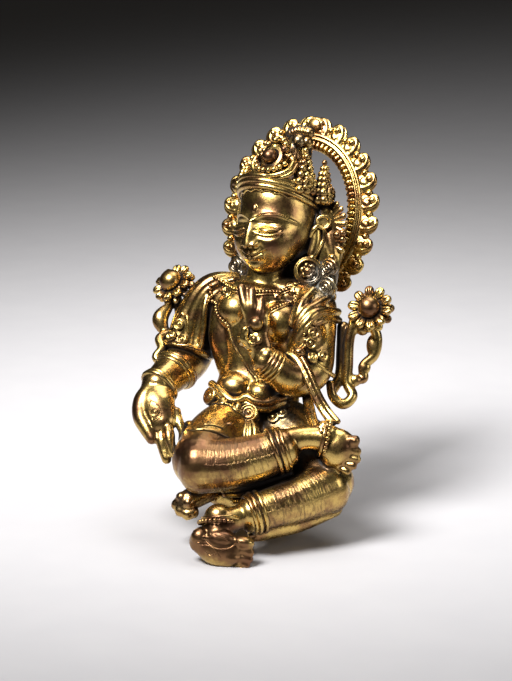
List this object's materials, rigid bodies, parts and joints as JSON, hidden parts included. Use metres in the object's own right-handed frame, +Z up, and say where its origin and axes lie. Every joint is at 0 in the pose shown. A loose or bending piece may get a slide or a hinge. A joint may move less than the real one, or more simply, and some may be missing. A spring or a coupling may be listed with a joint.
{
  "type": "lakshmi figure",
  "caption": "Small seated goddess cast in gilt copper, legs crossed, left hand raised and right hand open, with lotus flowers at the shoulders and a ring nimbus behind the head.",
  "frame": {"origin": "on the ground, under the middle of the figure's bounding box as it rests", "axes": "+Z up, +X towards the figure's own left, +Y towards its back; the figure leans back and to its left as it rests"},
  "size_m": [0.062, 0.0775, 0.0975],
  "materials": {
    "figure_gilding": "fire-gilt copper, worn to reddish copper on the knees, with dark brown patina in the recesses",
    "nimbus_gilding": "fire-gilt copper, satin, dark between the flames"
  },
  "bodies": {
    "root": {"figure": "figure_gilding", "nimbus": "nimbus_gilding"}
  },
  "joints": []
}
